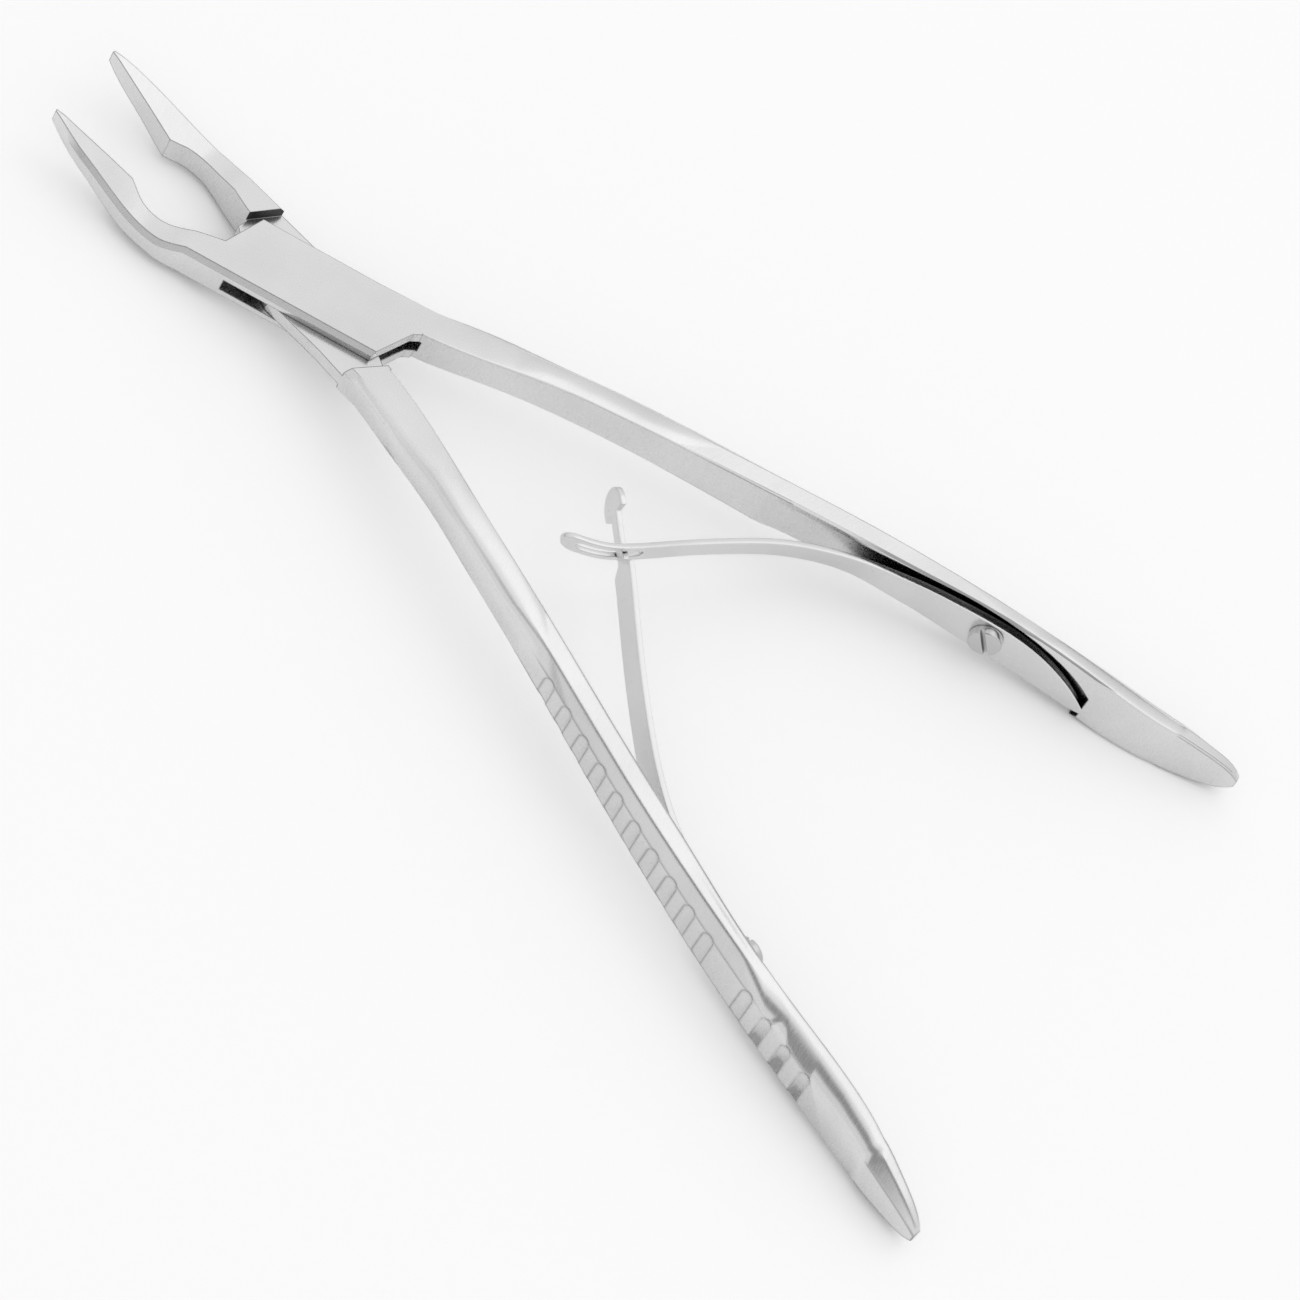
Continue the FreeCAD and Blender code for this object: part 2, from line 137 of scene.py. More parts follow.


# Softened normal near edges, wider along the handle, but the plain one within the pin's reach of the
# pivot axis; and the share of colour kept under painted shade, by how far the softening turns the
# normal.
def softNormal(tree, place, axis, handleEdge):
    link = tree.links.new
    look = steelLook
    soft = addNode(tree, "ShaderNodeBevel", samples=8)
    radius = look["edgeRadius"]
    link(ranged(tree, alongAxis(tree, place, axis), look["lockEnd"], radius, radius * handleEdge),
         soft.inputs["Radius"])
    plain = addNode(tree, "ShaderNodeNewGeometry")
    cross = addNode(tree, "ShaderNodeVectorMath", operation="CROSS_PRODUCT")
    cross.inputs[1].default_value = pivotAxis
    link(place.outputs["Object"], cross.inputs[0])
    reach = addNode(tree, "ShaderNodeVectorMath", operation="LENGTH")
    link(cross.outputs["Vector"], reach.inputs[0])
    outside = addNode(tree, "ShaderNodeMath", operation="GREATER_THAN")
    outside.inputs[1].default_value = steelLook["pinClear"]
    link(reach.outputs["Value"], outside.inputs[0])
    blend = addNode(tree, "ShaderNodeMix", data_type="VECTOR")
    link(outside.outputs["Value"], blend.inputs["Factor"])
    link(plain.outputs["Normal"], blend.inputs[4])
    link(soft.outputs["Normal"], blend.inputs[5])
    turn = addNode(tree, "ShaderNodeVectorMath", operation="DOT_PRODUCT")
    link(blend.outputs[1], turn.inputs[0])
    link(plain.outputs["Normal"], turn.inputs[1])
    none, full = look["edgeTurn"]
    left = ranged(tree, turn.outputs["Value"], (1 - full, 1 - none), look["paintedEdgeShade"], 1.0)
    return blend.outputs[1], left


# Painted shade in crevices: colour x (dark to 1 by the open share of the sky within reach).
def paintCreviceShade(tree, colour):
    look = steelLook
    sky = addNode(tree, "ShaderNodeAmbientOcclusion", samples=10, Distance=look["creviceReach"])
    share = ranged(tree, sky.outputs["AO"], (look["creviceShut"], look["creviceOpen"]),
                   look["creviceShadeDeepest"], 1.0)
    return scaled(tree, colour, share)


def scaled(tree, colour, factor):
    product = addNode(tree, "ShaderNodeVectorMath", operation="SCALE")
    tree.links.new(colour, product.inputs[0])
    tree.links.new(factor, product.inputs["Scale"])
    return product.outputs["Vector"]


# Painted shade in the spring seat: colour x (1 to the seat's shade by how far along the handle the
# point lies).
def seatPaintedShade(tree, place, colour, axis):
    limits = seatLook["lightAt"], seatLook["darkAt"]
    fade = ranged(tree, alongAxis(tree, place, axis), limits, 1.0, seatLook["shade"], smooth=True)
    return scaled(tree, colour, fade)


# Painted shade in the spring seat's recess: metres along the half frame's X, and the share of the
# steel's colour.
seatLook = {
    "lightAt": -0.0665,
    "darkAt": -0.0730,
    "shade": 0.50,
}


# Roughness = low to high by stroke noise; bump = stroke noise then bead noise on the soft normal.
def steelMaterial(name, turn=0.0, stroke=1.0, bead=1.0, rough=0.0, shade=1.0, axis=None,
                  handleEdge=1.0, seat=False):
    material = bpy.data.materials.new(name)
    material.use_nodes = True
    tree = material.node_tree
    tree.nodes.clear()
    link = tree.links.new
    look = steelLook
    output = addNode(tree, "ShaderNodeOutputMaterial")
    shader = addNode(tree, "ShaderNodeBsdfPrincipled", Metallic=1.0)
    link(shader.outputs["BSDF"], output.inputs["Surface"])
    place = addNode(tree, "ShaderNodeTexCoord")
    along = addNode(tree, "ShaderNodeMapping")
    along.inputs["Rotation"].default_value = (0, 0, -math.radians(turn))
    link(place.outputs["Object"], along.inputs["Vector"])
    stretch = addNode(tree, "ShaderNodeMapping")
    stretch.inputs["Scale"].default_value = look["grain"]
    link(along.outputs["Vector"], stretch.inputs["Vector"])
    strokes = addNode(tree, "ShaderNodeTexNoise", Scale=1.0, Detail=3.0, Roughness=0.6)
    link(stretch.outputs["Vector"], strokes.inputs["Vector"])
    beads = addNode(tree, "ShaderNodeTexNoise", Scale=look["beadScale"], Detail=2.0)
    link(place.outputs["Object"], beads.inputs["Vector"])
    patches = addNode(tree, "ShaderNodeTexNoise", Scale=look["patchScale"], Detail=4.0)
    link(place.outputs["Object"], patches.inputs["Vector"])

    colour = addNode(tree, "ShaderNodeValToRGB")
    colour.color_ramp.elements[0].position = 0.32
    colour.color_ramp.elements[0].color = tuple(c * shade for c in look["dull"]) + (1,)
    colour.color_ramp.elements[1].position = 0.60
    colour.color_ramp.elements[1].color = tuple(c * shade for c in look["pale"]) + (1,)
    link(patches.outputs["Fac"], colour.inputs["Fac"])
    paint = colour.outputs["Color"]
    # Painted shade in the spring seat, deeper along the handle.
    if seat:
        paint = seatPaintedShade(tree, place, paint, axis)
    soft = axis is not None and not seat
    if soft:
        edgeNormal, edgeShadeLeft = softNormal(tree, place, axis, handleEdge)
        # Painted shade along the softened edges.
        paint = scaled(tree, paint, edgeShadeLeft)
    # Painted shade in crevices, on every steel.
    link(paintCreviceShade(tree, paint), shader.inputs["Base Color"])

    gloss = addNode(tree, "ShaderNodeMapRange")
    gloss.inputs["From Min"].default_value = 0.3
    gloss.inputs["From Max"].default_value = 0.7
    gloss.inputs["To Min"].default_value = look["roughLow"] + rough
    gloss.inputs["To Max"].default_value = look["roughHigh"] + rough
    link(strokes.outputs["Fac"], gloss.inputs["Value"])
    link(gloss.outputs["Result"], shader.inputs["Roughness"])

    lowBump = addNode(tree, "ShaderNodeBump", Strength=1.0, Distance=look["grainDepth"] * stroke)
    link(strokes.outputs["Fac"], lowBump.inputs["Height"])
    if soft:
        link(edgeNormal, lowBump.inputs["Normal"])
    highBump = addNode(tree, "ShaderNodeBump", Strength=1.0, Distance=look["beadDepth"] * bead)
    link(beads.outputs["Fac"], highBump.inputs["Height"])
    link(lowBump.outputs["Normal"], highBump.inputs["Normal"])
    link(highBump.outputs["Normal"], shader.inputs["Normal"])
    return material


def wear(obj, material):
    obj.data.materials.clear()
    obj.data.materials.append(material)


wear(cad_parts["pivot_pin"], steelMaterial("pinSteel", turn=-18.0))
# Near-black steel: painted shade on the deep shoulder wall of the male half.
shoulderShadeSteel = steelMaterial("shoulderShadeSteel", rough=0.15, shade=0.06)
springSteel = steelMaterial("springSteel", turn=90.0, rough=-0.02, shade=0.98)
screwSteel = steelMaterial("screwSteel", bead=0.6, rough=-0.04, shade=0.78)
print("steel applied")

# The two halves: welded copies of the CAD meshes. Their soft ridges are shaded round; painted shade
# darkens the spring seats with the distance from their start and paints one shoulder black.
halfShape = {
    "sharpAngle": 32.0,       # degrees; a ridge flatter than this is shaded round
    "roundAngle": 55.0,       # the same on the neck and on the end of the handle
    "roundSpans": [(-45.0, -14.0), (-112.0, -92.5)],
    "flatSpan": (-77.0, -54.0),
    "flatAngle": 0.4,         # degrees within which neighbouring faces are one flat face
    "innerFace": [(-111.5, -16.60), (-103.5, -15.65), (-92.6, -15.30), (-81.7, -14.05),
                  (-69.8, -12.00), (-57.9, -9.90), (-46.9, -7.75)],
    "seatSpan": (-101.6, -57.0),
    "seatStart": -70.0,
    "seatDepth": (0.05, 1.15),
    "shoulderSpan": (6.5, 11.5),
    "shoulderHeight": (0.83, 2.15),
    "facing": 0.4,            # least share of a face's normal along the side it looks to
    "startDepth": -0.5,       # mm, the least depth near the seat's start
    "weld": 0.000002,         # metres
    "areaWeight": 80,
}


# Half point in mm = the inverse of toWorld, with a male half flipped back.
def toHalf(points, flip):
    tilt, opened = (math.radians(restPose[k]) for k in ("tilt", "halfOpening"))
    x, y, z = np.asarray(points, float).T * 1000
    c, s = math.cos(tilt), math.sin(tilt)
    x, z = c * x - s * z, s * x + c * z - restPose["lockHalf"]
    c, s = math.cos(opened * flip), math.sin(opened * flip)
    return np.stack([c * x + s * y, flip * (c * y - s * x), z], axis=1)


# Faces that get painted shade: seat faces look inward from below the handle's inner face; shoulder
# faces look to the handle.
def paintedShadeFaces(centres, normals, flip):
    shape = halfShape
    x, y, z = centres.T
    inner = np.interp(x, *np.array(shape["innerFace"]).T)
    depth = inner - y
    low, high = shape["seatDepth"]
    low = np.where(x > shape["seatStart"], shape["startDepth"], low)
    inSeat = (x > shape["seatSpan"][0]) & (x < shape["seatSpan"][1]) & (depth > low) & (depth < high)
    seat = inSeat & (normals[:, 1] > shape["facing"])
    low, high = shape["shoulderHeight"]
    shoulder = ((x > shape["shoulderSpan"][0]) & (x < shape["shoulderSpan"][1]) & (z > low)
                & (z < high) & (normals[:, 0] < -shape["facing"]))
    return seat, shoulder & (flip < 0)


# Hollow along the biting face in the half frame, mm: an ellipsoid. The cut takes effect on the
# female jaw only; faces in the hollow get painted shade.
cupShape = {
    "centre": (27.0, 0.0, 3.85),
    "slope": 21.4,                  # degrees that the biting face climbs
    "reach": (4.7, 0.60, 0.62),     # half length, depth and half width
    # share of the steel's colour kept as painted shade in the hollow
    "shade": 0.42,
    "within": 1.06,                 # share of the ellipsoid's size that counts as inside
    "behind": 0.01,                 # mm behind the biting face
}


# World ellipsoid = centre + slope turn of (length, depth, width) on the unit ball.
def cupTool(flip):
    bm = bmesh.new()
    bmesh.ops.create_uvsphere(bm, u_segments=40, v_segments=24, radius=1.0)
    ball = np.array([v.co[:] for v in bm.verts]) * cupShape["reach"]
    slope = math.radians(cupShape["slope"])
    c, s = math.cos(slope), math.sin(slope)
    turned = np.stack([c * ball[:, 0] - s * ball[:, 2], ball[:, 1],
                       s * ball[:, 0] + c * ball[:, 2]], axis=1)
    for vert, place in zip(bm.verts, toWorld(turned + cupShape["centre"], flip)):
        vert.co = place
    bmesh.ops.recalc_face_normals(bm, faces=bm.faces[:])
    return meshObject("cupTool", bm)


# In the cup: behind the biting face and no further out than the ellipsoid.
def inCup(centres):
    slope = math.radians(cupShape["slope"])
    c, s = math.cos(slope), math.sin(slope)
    x, y, z = (centres - np.array(cupShape["centre"])).T
    ball = np.stack([c * x + s * z, y, c * z - s * x], axis=1) / cupShape["reach"]
    return (y > cupShape["behind"]) & (np.linalg.norm(ball, axis=1) < cupShape["within"])


# Faces are smooth except in the flat span; edges are sharp above the angle of their span.
def shadeRidges(bm, flip):
    shape = halfShape
    x = toHalf([face.calc_center_median()[:] for face in bm.faces], flip)[:, 0]
    for face, station in zip(bm.faces, x):
        face.smooth = not shape["flatSpan"][0] < station < shape["flatSpan"][1]
    x = toHalf([((edge.verts[0].co + edge.verts[1].co) / 2)[:] for edge in bm.edges], flip)[:, 0]
    for edge, station in zip(bm.edges, x):
        rounded = any(low < station < high for low, high in shape["roundSpans"])
        limit = shape["roundAngle"] if rounded else shape["sharpAngle"]
        edge.smooth = edge.calc_face_angle(0.0) < math.radians(limit)


def makeHalf(name, node, body, flip, turn, handleEdge):
    bm = bmesh.new()
    bm.from_mesh(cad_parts[node].data)
    bmesh.ops.remove_doubles(bm, verts=bm.verts[:], dist=halfShape["weld"])
    half = meshObject(name, bm)
    cutWith(half, cupTool(flip))
    mesh = half.data
    bm = bmesh.new()
    bm.from_mesh(mesh)
    bmesh.ops.dissolve_limit(bm, angle_limit=math.radians(halfShape["flatAngle"]),
                             verts=bm.verts[:], edges=bm.edges[:])
    shadeRidges(bm, flip)
    bm.to_mesh(mesh)
    bm.free()
    mesh.materials.clear()
    origin, ahead = toWorld([(0, 0, 0), (1000, 0, 0)], flip)
    axis = tuple(ahead - origin)
    seatShadeSteel = steelMaterial(name + "Seat", turn=turn, axis=axis, seat=True)
    mainSteel = steelMaterial(name + "Steel", turn=turn, axis=axis, handleEdge=handleEdge)
    # Painted shade inside the jaw's hollow.
    cupShadeSteel = steelMaterial(name + "Cup", turn=turn, stroke=2.0, shade=cupShape["shade"])
    for material in (mainSteel, seatShadeSteel, shoulderShadeSteel, cupShadeSteel):
        mesh.materials.append(material)
    centres = toHalf([face.center[:] for face in mesh.polygons], flip)
    ends = toHalf([(face.center + face.normal * 0.001)[:] for face in mesh.polygons], flip)
    seat, shoulder = paintedShadeFaces(centres, ends - centres, flip)
    cup = inCup(centres)
    for face, index in zip(mesh.polygons, np.select([cup, shoulder, seat], [3, 2, 1], 0)):
        face.material_index = int(index)
    weigh = half.modifiers.new("ridgeShading", "WEIGHTED_NORMAL")
    weigh.keep_sharp = True
    weigh.weight = halfShape["areaWeight"]
    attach(half, body)
    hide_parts(node)
    print(name, "seat faces", int(seat.sum()), "shoulder faces", int(shoulder.sum()),
          "cup faces", int(cup.sum()))


def meshObject(name, bm):
    mesh = bpy.data.meshes.new(name)
    bm.to_mesh(mesh)
    bm.free()
    obj = bpy.data.objects.new(name, mesh)
    bpy.context.collection.objects.link(obj)
    return obj


def cutWith(obj, tool):
    modifier = obj.modifiers.new("cut", "BOOLEAN")
    modifier.operation = "DIFFERENCE"
    modifier.solver = "EXACT"
    modifier.object = tool
    graph = bpy.context.evaluated_depsgraph_get()
    result = bpy.data.meshes.new_from_object(obj.evaluated_get(graph))
    obj.modifiers.remove(modifier)
    obj.data = result
    bpy.data.objects.remove(tool)


makeHalf("femaleBlade", "female_half", "female", 1, -18.0, 1.2)
makeHalf("maleBlade", "male_half", "male", -1, 18.0, 2.6)

# Leaf springs, in the half frame, mm. The inner face of each leaf in plan, its upper and lower
# edge above and below the leaf's middle line, and its thickness.
springShape = {
    "heightAtEye": -3.19,
    "slope": 0.203,
    "eyeStation": -45.6,
    "lean": 0.24,               # mm inward for each mm up on the free strip
    "leanFrom": (-78.0, -66.0),
    "base": [(-101.6, -15.52), (-97.0, -15.25), (-93.0, -14.90), (-88.0, -14.25),
             (-83.0, -13.55), (-78.7, -12.90), (-74.5, -11.95)],
    "slotted": [(-70.0, -10.75), (-65.0, -8.50), (-60.6, -5.73), (-55.9, -1.83),
                (-50.4, 3.31), (-45.6, 7.97), (-43.5, 9.67), (-41.2, 10.92), (-38.0, 12.10)],
    "headed": [(-70.2, -10.40), (-65.6, -7.88), (-61.7, -5.20), (-57.4, -1.95),
               (-52.1, 2.35), (-46.1, 7.25), (-43.4, 9.20), (-41.2, 10.90), (-38.0, 13.05)],
    "upperEdge": [(-101.4, -2.20), (-99.6, -0.80), (-97.4, 0.40), (-94.0, 1.60), (-91.0, 2.15),
                  (-88.0, 2.35), (-82.6, 2.15), (-77.4, 1.85), (-72.0, 1.70), (-66.0, 1.64)],
    "lowerEdge": [(-101.4, -2.70), (-99.6, -3.10), (-97.4, -3.18), (-94.0, -3.10),
                  (-91.0, -3.05), (-88.0, -2.95), (-82.6, -2.70), (-77.4, -2.30),
                  (-72.0, -1.95), (-66.0, -1.64)],
    "thickness": [(-101.6, 0.55), (-97.0, 0.95), (-90.0, 1.30), (-80.0, 1.10), (-72.0, 0.80),
                  (-38.0, 0.72)],
    "strip": 1.64,
    "paddle": 1.72,
    "paddleFrom": -49.3,
    "paddleEnd": -39.8,
    "eye": 0.78,
    "eyeFrom": -46.3,
    "eyeEnd": -40.6,
    "neck": 0.60,
    "neckFrom": -46.2,
    "headCentre": -40.9,
    "headRadius": 1.80,
    "headFlat": -41.5,
    "edgeRound": 0.14,
    "stripStep": 0.45,
}


# Natural cubic through the given points, read at x.
def smoothLine(points, x):
    px, py = np.array(sorted(points)).T
    n = len(px)
    gap = np.diff(px)
    rise = np.diff(py) / gap
    rows = np.eye(n)
    right = np.zeros(n)
    for k in range(1, n - 1):
        rows[k, k - 1:k + 2] = gap[k - 1], 2 * (gap[k - 1] + gap[k]), gap[k]
        right[k] = 6 * (rise[k] - rise[k - 1])
    bend = np.linalg.solve(rows, right)
    k = np.clip(np.searchsorted(px, x) - 1, 0, n - 2)
    a, b = px[k + 1] - x, x - px[k]
    return ((bend[k] * a ** 3 + bend[k + 1] * b ** 3) / (6 * gap[k])
            + (py[k] / gap[k] - bend[k] * gap[k] / 6) * a
            + (py[k + 1] / gap[k] - bend[k + 1] * gap[k] / 6) * b)


# Leaf point = inner face in plan + lean x height - depth x thickness along the plan's normal.
def leafPoint(x, height, depth, face):
    shape = springShape
    plan = shape["base"] + shape[face]
    y = smoothLine(plan, x)
    slope = (smoothLine(plan, x + 0.05) - smoothLine(plan, x - 0.05)) / 0.1
    length = np.sqrt(1 + slope ** 2)
    free = np.clip((x - shape["leanFrom"][0]) / (shape["leanFrom"][1] - shape["leanFrom"][0]),
                   0, 1)
    y = y + shape["lean"] * height * free * free * (3 - 2 * free)
    thick = np.interp(x, *np.array(shape["thickness"]).T) * depth
    z = leafMiddle(x) + height
    return np.stack([x + slope / length * thick, y - thick / length, z], axis=1)


# Height of the leaf's middle line, mm.
def leafMiddle(x):
    return springShape["heightAtEye"] + springShape["slope"] * (x - springShape["eyeStation"])


def arc(centre, radius, start, end, count):
    angles = np.radians(np.linspace(start, end, count))
    return [(centre + radius * math.cos(a), radius * math.sin(a)) for a in angles]


# Side outline of the base: the two smoothed edges up to the free strip, from the strip's lower
# side round the pointed end and back to its upper side.
def baseOutline():
    stations = np.linspace(-66.0, -101.4, 40)
    lower = smoothLine(springShape["lowerEdge"], stations)
    upper = smoothLine(springShape["upperEdge"], stations[::-1])
    return list(zip(stations, lower)) + list(zip(stations[::-1], upper))


def slottedOutline():
    shape = springShape
    strip, paddle = shape["strip"], shape["paddle"]
    tip = [(shape["paddleFrom"] - 3.0, strip), (shape["paddleFrom"], paddle)]
    tip += arc(shape["paddleEnd"], paddle, 90, -90, 17)
    tip += [(shape["paddleFrom"], -paddle), (shape["paddleFrom"] - 3.0, -strip)]
    eye = arc(shape["eyeEnd"], shape["eye"], 90, -90, 11)
    eye += arc(shape["eyeFrom"], shape["eye"], 270, 90, 11)
    return baseOutline() + tip, eye


def headedOutline():
    shape = springShape
    strip, neck, radius = shape["strip"], shape["neck"], shape["headRadius"]
    flat = shape["headFlat"]
    rim = math.degrees(math.acos((flat - shape["headCentre"]) / radius))
    tip = [(shape["neckFrom"] - 0.7, strip), (shape["neckFrom"], neck), (flat, neck)]
    tip += arc(shape["headCentre"], radius, rim, -rim, 25)
    tip += [(flat, -neck), (shape["neckFrom"], -neck), (shape["neckFrom"] - 0.7, -strip)]
    return baseOutline() + tip, None


# Flat plate with rounded edges from a filled curve, as a bmesh in (x, height, depth), its depth
# from -0.5 to 0.5 of the thickness and its edge rounding in the same unit.
def plate(outline, hole):
    curve = bpy.data.curves.new("leafOutline", "CURVE")
    curve.dimensions = "2D"
    curve.fill_mode = "BOTH"
    rounding = springShape["edgeRound"]
    curve.extrude = 0.5 - rounding
    curve.bevel_depth = rounding
    curve.bevel_resolution = 2
    curve.offset = -rounding
    for ring in (outline, hole):
        if ring is None:
            continue
        spline = curve.splines.new("POLY")
        spline.points.add(len(ring) - 1)
        for point, (x, height) in zip(spline.points, ring):
            point.co = (x, height, 0, 1)
        spline.use_cyclic_u = True
    holder = bpy.data.objects.new("leafOutline", curve)
    bpy.context.collection.objects.link(holder)
    mesh = bpy.data.meshes.new_from_object(
        holder.evaluated_get(bpy.context.evaluated_depsgraph_get()))
    bm = bmesh.new()
    bm.from_mesh(mesh)
    bpy.data.objects.remove(holder)
    bpy.data.curves.remove(curve)
    bpy.data.meshes.remove(mesh)
    bmesh.ops.remove_doubles(bm, verts=bm.verts[:], dist=0.0005)
    return bm


# The plate is cut across at every step so that it can follow the plan's curve.
def makeLeaf(name, outline, hole, face, flip):
    bm = plate(outline, hole)
    for x in np.arange(-100.0, -38.4, springShape["stripStep"]):
        bmesh.ops.bisect_plane(bm, geom=bm.verts[:] + bm.edges[:] + bm.faces[:], dist=0.0001,
                               plane_co=(x, 0, 0), plane_no=(1, 0, 0))
    flat = np.array([v.co[:] for v in bm.verts])
    solid = toWorld(leafPoint(flat[:, 0], flat[:, 1], 0.5 - flat[:, 2], face), flip)
    for vert, place in zip(bm.verts, solid):
        vert.co = place
    bmesh.ops.recalc_face_normals(bm, faces=bm.faces[:])
    leaf = meshObject(name, bm)
    leaf.data.shade_smooth()
    leaf.data.set_sharp_from_angle(angle=math.radians(35))
    wear(leaf, springSteel)
    return leaf


leafPlan = {
    "slottedLeaf": (slottedOutline, "slotted", 1, "female", "male", "slotted_spring"),
    "headedLeaf": (headedOutline, "headed", -1, "male", "female", "headed_spring"),
}
for leafName, (draw, face, flip, own, other, node) in leafPlan.items():
    outline, hole = draw()
    leaf = makeLeaf(leafName, outline, hole, face, flip)
    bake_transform(leaf)
    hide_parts(node)
print("springs made")

# Spring screws: a turned head with a soft rim, a driver slot, and a plain shank.
screwShape = {
    "station": -86.9,
    "face": -14.12,
    "turn": 7.0,
    "headRadius": 2.00,
    "headHeight": 1.25,
    "rim": 0.28,
    "shankRadius": 1.0,
    "shankLength": 2.6,
    "slotHalf": 0.30,
    "slotDepth": 0.50,
    "slotTurn": 62.0,
    "segments": 72,
}


# Closed profile spun about the screw's axis.
def screwBody():
    shape = screwShape
    rim = shape["rim"]
    profile = [(0.0, -shape["shankLength"]), (shape["shankRadius"] - 0.1, -shape["shankLength"]),
               (shape["shankRadius"], 0.1 - shape["shankLength"]), (shape["shankRadius"], 0.0),
               (shape["headRadius"] - 0.08, 0.0), (shape["headRadius"], 0.08)]
    for angle in np.radians(np.linspace(0, 90, 6)):
        profile.append((shape["headRadius"] - rim + rim * math.cos(angle),
                        shape["headHeight"] - rim + rim * math.sin(angle)))
    profile.append((0.0, shape["headHeight"] + 0.05))
    bm = bmesh.new()
    verts = [bm.verts.new((radius, 0, z)) for radius, z in profile]
    edges = [bm.edges.new(pair) for pair in zip(verts, verts[1:])]
    bmesh.ops.spin(bm, geom=verts + edges, cent=(0, 0, 0), axis=(0, 0, 1),
                   angle=2 * math.pi, steps=shape["segments"], use_duplicate=False)
    bmesh.ops.remove_doubles(bm, verts=bm.verts[:], dist=0.0005)
    bmesh.ops.recalc_face_normals(bm, faces=bm.faces[:])
    return meshObject("screwBody", bm)


def block(name, low, high):
    bm = bmesh.new()
    bmesh.ops.create_cube(bm, size=1.0)
    for vert in bm.verts:
        vert.co = [low[k] if vert.co[k] < 0 else high[k] for k in range(3)]
    return meshObject(name, bm)


def makeScrew(name, flip, node, body):
    shape = screwShape
    obj = screwBody()
    obj.name = name
    wide = shape["headRadius"] + 1
    tool = block("slotTool", (-wide, -shape["slotHalf"], shape["headHeight"] - shape["slotDepth"]),
                 (wide, shape["slotHalf"], shape["headHeight"] + 1))
    cutWith(obj, tool)
    points = np.array([v.co[:] for v in obj.data.vertices])
    c, s = math.cos(math.radians(shape["slotTurn"])), math.sin(math.radians(shape["slotTurn"]))
    side = c * points[:, 0] - s * points[:, 1]
    rise = s * points[:, 0] + c * points[:, 1]
    out = points[:, 2]
    c, s = math.cos(math.radians(shape["turn"])), math.sin(math.radians(shape["turn"]))
    height = leafMiddle(shape["station"])
    placed = np.stack([shape["station"] + c * side - s * out,
                       shape["face"] + s * side + c * out, height + rise], axis=1)
    world = toWorld(placed, flip)
    for vert, place in zip(obj.data.vertices, world):
        vert.co = place
    bm = bmesh.new()
    bm.from_mesh(obj.data)
    bmesh.ops.recalc_face_normals(bm, faces=bm.faces[:])
    bm.to_mesh(obj.data)
    bm.free()
    obj.data.shade_smooth()
    obj.data.set_sharp_from_angle(angle=math.radians(30))
    wear(obj, screwSteel)
    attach(obj, body)
    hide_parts(node)


makeScrew("slottedScrew", 1, "slotted_spring_screw", "female")
makeScrew("headedScrew", -1, "headed_spring_screw", "male")
print("screws made")

# Floor, light and camera.
stageLook = {
    "floorColour": (0.96, 0.96, 0.96),
    "floorGlow": 0.19,          # added to the paper where the camera sees it
    "floorHalf": 3.0,
    "paper": 1.02,              # sky brightness that the camera sees
    "roomLight": 0.97,          # sky brightness that lights matt things
    "tent": 0.97,               # sky brightness that steel reflects overhead
    "tentLow": 0.80,            # the same near the horizon
    "dark": 0.30,               # the photographer and the dark card round the camera
    "darkInner": 0.985,         # cosine of the dark patch's full half angle
    "darkOuter": 0.88,          # cosine at which the patch has faded out
}


def plane(name, corners):
    mesh = bpy.data.meshes.new(name)
    mesh.from_pydata(corners, [], [(0, 1, 2, 3)])
    obj = bpy.data.objects.new(name, mesh)
    bpy.context.collection.objects.link(obj)
    return obj


def paintFlat(name, colour):
    material = bpy.data.materials.new(name)
    material.use_nodes = True
    shader = material.node_tree.nodes["Principled BSDF"]
    shader.inputs["Base Color"].default_value = colour + (1,)
    shader.inputs["Roughness"].default_value = 0.9
    return material


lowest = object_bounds()[0][2]
half = stageLook["floorHalf"]
floor = plane("floor", [(-half, -half, lowest), (half, -half, lowest), (half, half, lowest),
                        (-half, half, lowest)])
paper = paintFlat("paleFloor", stageLook["floorColour"])
paperTree = paper.node_tree
paperRays = addNode(paperTree, "ShaderNodeLightPath")
paperGlow = addNode(paperTree, "ShaderNodeMath", operation="MULTIPLY")
paperGlow.inputs[1].default_value = stageLook["floorGlow"]
paperTree.links.new(paperRays.outputs["Is Camera Ray"], paperGlow.inputs[0])
paperShader = paperTree.nodes["Principled BSDF"]
paperShader.inputs["Emission Color"].default_value = (1, 1, 1, 1)
paperTree.links.new(paperGlow.outputs["Value"], paperShader.inputs["Emission Strength"])
wear(floor, paper)

cameraPlace = {
    "azimuth": 84.6407,      # degrees, 90 looks along -Y
    "elevation": 50.4405,
    "roll": 45.9209,
    "distance": 0.750685,    # metres
    "target": (-0.054434, 0.008703, 0.006421),
    "lens": 189.374,         # mm on a 36 mm wide frame
}


# Back axis from azimuth and elevation; right and up turned about it by the roll.
def cameraAxes(place):
    az, el, roll = (math.radians(place[k]) for k in ("azimuth", "elevation", "roll"))
    back = Vector((math.cos(el) * math.cos(az), math.cos(el) * math.sin(az), math.sin(el)))
    right = Vector((0, 0, 1)).cross(back).normalized()
    up = back.cross(right)
    turned = math.cos(roll) * right + math.sin(roll) * up
    return turned, back.cross(turned), back


right, up, back = cameraAxes(cameraPlace)
cameraData = bpy.data.cameras.new("photoCamera")
cameraData.sensor_fit = "HORIZONTAL"
cameraData.sensor_width = 36.0
cameraData.lens = cameraPlace["lens"]
cameraData.clip_start = 0.01
camera = bpy.data.objects.new("photoCamera", cameraData)
spot = Vector(cameraPlace["target"]) + back * cameraPlace["distance"]
camera.matrix_world = Matrix(((right[0], up[0], back[0], spot[0]),
                              (right[1], up[1], back[1], spot[1]),
                              (right[2], up[2], back[2], spot[2]), (0, 0, 0, 1)))
bpy.context.collection.objects.link(camera)
bpy.context.scene.camera = camera


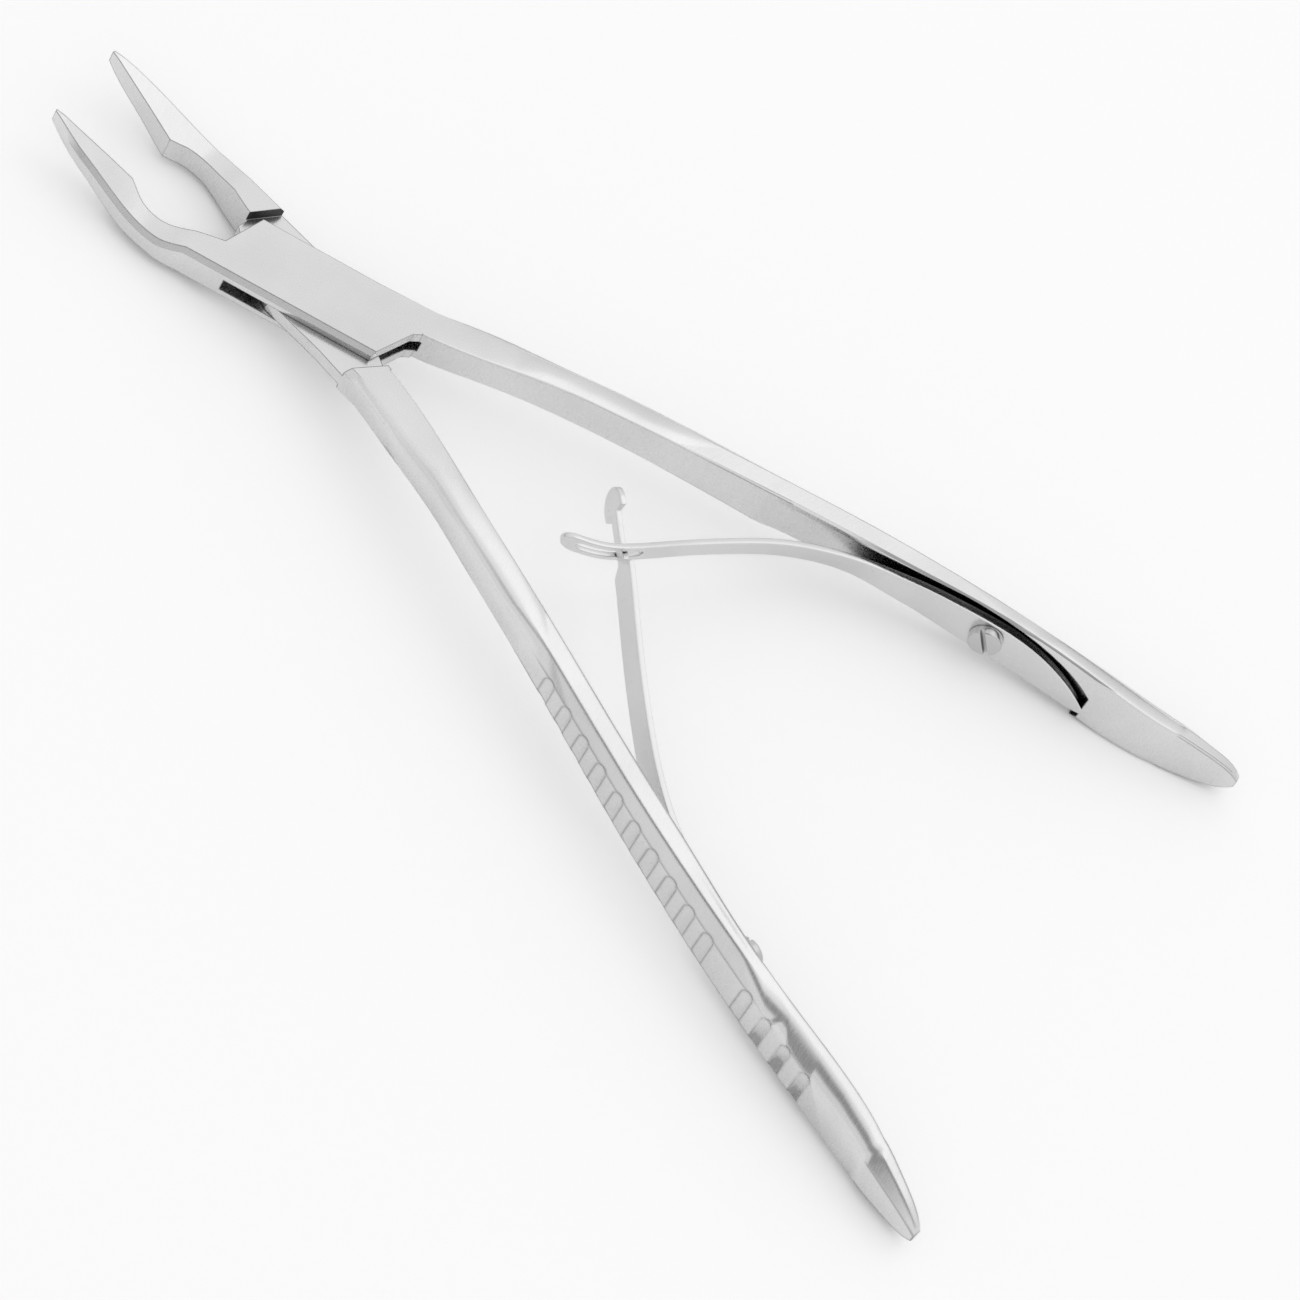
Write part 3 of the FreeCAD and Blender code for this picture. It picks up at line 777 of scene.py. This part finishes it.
# Light tent: white for the camera, even for matt things, and for reflections a bright roof that
# fades to the horizon, with a dark patch in the direction of the photographer.
def lightTent(look, toward):
    world = bpy.data.worlds.new("lightTent")
    bpy.context.scene.world = world
    world.use_nodes = True
    tree = world.node_tree
    tree.nodes.clear()
    link = tree.links.new
    output = addNode(tree, "ShaderNodeOutputWorld")
    sky = addNode(tree, "ShaderNodeBackground")
    link(sky.outputs["Background"], output.inputs["Surface"])
    direction = addNode(tree, "ShaderNodeTexCoord")
    facing = addNode(tree, "ShaderNodeVectorMath", operation="DOT_PRODUCT")
    facing.inputs[1].default_value = toward
    link(direction.outputs["Generated"], facing.inputs[0])
    patch = addNode(tree, "ShaderNodeMapRange", interpolation_type="SMOOTHSTEP")
    patch.inputs["From Min"].default_value = look["darkOuter"]
    patch.inputs["From Max"].default_value = look["darkInner"]
    link(facing.outputs["Value"], patch.inputs["Value"])
    height = addNode(tree, "ShaderNodeSeparateXYZ")
    link(direction.outputs["Generated"], height.inputs["Vector"])
    roof = addNode(tree, "ShaderNodeMapRange")
    roof.inputs["From Min"].default_value = 0.0
    roof.inputs["From Max"].default_value = 0.7
    roof.inputs["To Min"].default_value = look["tentLow"]
    roof.inputs["To Max"].default_value = look["tent"]
    link(height.outputs["Z"], roof.inputs["Value"])
    tent = addNode(tree, "ShaderNodeMix", data_type="FLOAT")
    tent.inputs[3].default_value = look["dark"]
    link(patch.outputs["Result"], tent.inputs["Factor"])
    link(roof.outputs["Result"], tent.inputs[2])
    rays = addNode(tree, "ShaderNodeLightPath")
    matt = addNode(tree, "ShaderNodeMix", data_type="FLOAT")
    matt.inputs[2].default_value = look["roomLight"]
    link(rays.outputs["Is Glossy Ray"], matt.inputs["Factor"])
    link(tent.outputs[0], matt.inputs[3])
    seen = addNode(tree, "ShaderNodeMix", data_type="FLOAT")
    seen.inputs[3].default_value = look["paper"]
    link(rays.outputs["Is Camera Ray"], seen.inputs["Factor"])
    link(matt.outputs[0], seen.inputs[2])
    link(seen.outputs[0], sky.inputs["Strength"])


lightTent(stageLook, tuple(back))
lampPlan = {
    "key": {"at": (-0.25, -0.35, 0.85), "size": 0.7, "power": 0.35},
}
for lampName, plan in lampPlan.items():
    data = bpy.data.lights.new(lampName, "AREA")
    data.size = plan["size"]
    data.energy = plan["power"]
    lamp = bpy.data.objects.new(lampName, data)
    lamp.location = plan["at"]
    aim = Vector((-0.05, 0, 0)) - lamp.location
    lamp.rotation_euler = aim.to_track_quat("-Z", "Y").to_euler()
    bpy.context.collection.objects.link(lamp)
bpy.context.scene.view_settings.view_transform = "Standard"
print("stage set")
